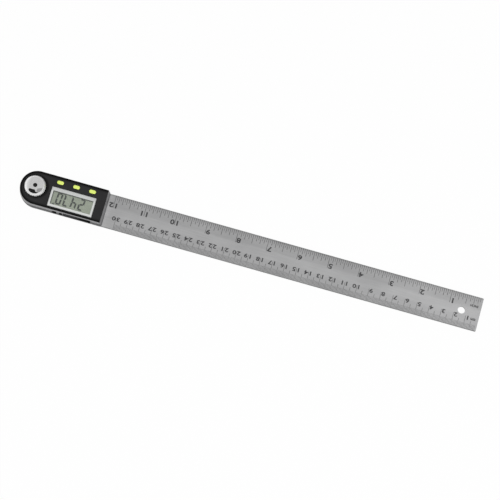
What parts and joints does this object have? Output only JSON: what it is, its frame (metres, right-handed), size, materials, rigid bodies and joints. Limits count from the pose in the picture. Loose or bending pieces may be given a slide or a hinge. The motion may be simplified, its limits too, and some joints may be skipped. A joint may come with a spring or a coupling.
{
  "type": "folding digital angle rule",
  "caption": "Folding digital angle rule: two steel rules on one hinge, a display head with buttons and a lock knob over the hinge.",
  "frame": {"origin": "on the hinge axis, level with the underside of the lower rule", "axes": "+X runs from the hinge along the closed rules to their square ends, +Y is the edge with the buttons, +Z comes out of the display"},
  "size_m": [0.3814, 0.0288, 0.0161],
  "materials": {
    "rule_steel": "brushed along the length",
    "hub_steel": "turned",
    "cover_black": "fine moulded texture",
    "frame_grey": "satin",
    "base_grey": "satin",
    "knob_metal": "turned, knurled edge",
    "screw_steel": "plain",
    "button_yellow": "gloss",
    "window_clear": "clear gloss",
    "bezel_print": "flat print",
    "lcd_glass": "gloss",
    "zebra_rubber": "matte",
    "board_green": "solder mask",
    "chip_resin": "gloss",
    "contact_brass": "plated",
    "nylon_white": "satin",
    "drawer_black": "satin",
    "cell_steel": "bright"
  },
  "bodies": {
    "head": {"upper_rule": "rule_steel", "head_base": "base_grey", "head_frame": "frame_grey", "front_cover": "cover_black", "case_screws": "screw_steel", "display_bezel": "bezel_print", "display_window": "window_clear", "lcd_panel": "lcd_glass", "zebra_strips": "zebra_rubber", "main_board": "board_green", "chip_cap": "chip_resin", "dome_switches": "contact_brass", "sensor_board": "board_green", "sensor_pins": "contact_brass", "cell_contact": "contact_brass", "rim_contact": "contact_brass", "port_plugs": "drawer_black", "knob_washer": "nylon_white"},
    "lower_arm": {"lower_rule": "rule_steel", "hinge_hub": "hub_steel", "hub_rivets": "hub_steel", "rotor_ring": "board_green", "spacer_shim": "nylon_white", "clamp_washer": "nylon_white"},
    "lock": {"lock_knob": "knob_metal", "lock_screw": "screw_steel"},
    "zero_button": {"zero_button": "button_yellow"},
    "hold_button": {"hold_button": "button_yellow"},
    "power_button": {"power_button": "button_yellow"},
    "battery_drawer": {"battery_drawer": "drawer_black", "coin_cell": "cell_steel"}
  },
  "joints": [
    {"name": "arm_hinge", "type": "hinge", "parent": "head", "child": "lower_arm", "pos_m": [0, 0, 0.0025], "axis": [0, 0, 1], "continuous": true},
    {"name": "lock_turn", "type": "hinge", "parent": "lower_arm", "child": "lock", "pos_m": [0, 0, 0.0136], "axis": [0, 0, 1], "range_deg": [-180, 0]},
    {"name": "zero_press", "type": "slide", "parent": "head", "child": "zero_button", "axis": [0, 0, -1], "range_m": [0, 0.0003], "stiffness_N_per_m": 1500},
    {"name": "hold_press", "type": "slide", "parent": "head", "child": "hold_button", "axis": [0, 0, -1], "range_m": [0, 0.0003], "stiffness_N_per_m": 1500},
    {"name": "power_press", "type": "slide", "parent": "head", "child": "power_button", "axis": [0, 0, -1], "range_m": [0, 0.0003], "stiffness_N_per_m": 1500},
    {"name": "drawer_slide", "type": "slide", "parent": "head", "child": "battery_drawer", "axis": [0, -1, 0], "range_m": [0, 0.0225]}
  ]
}
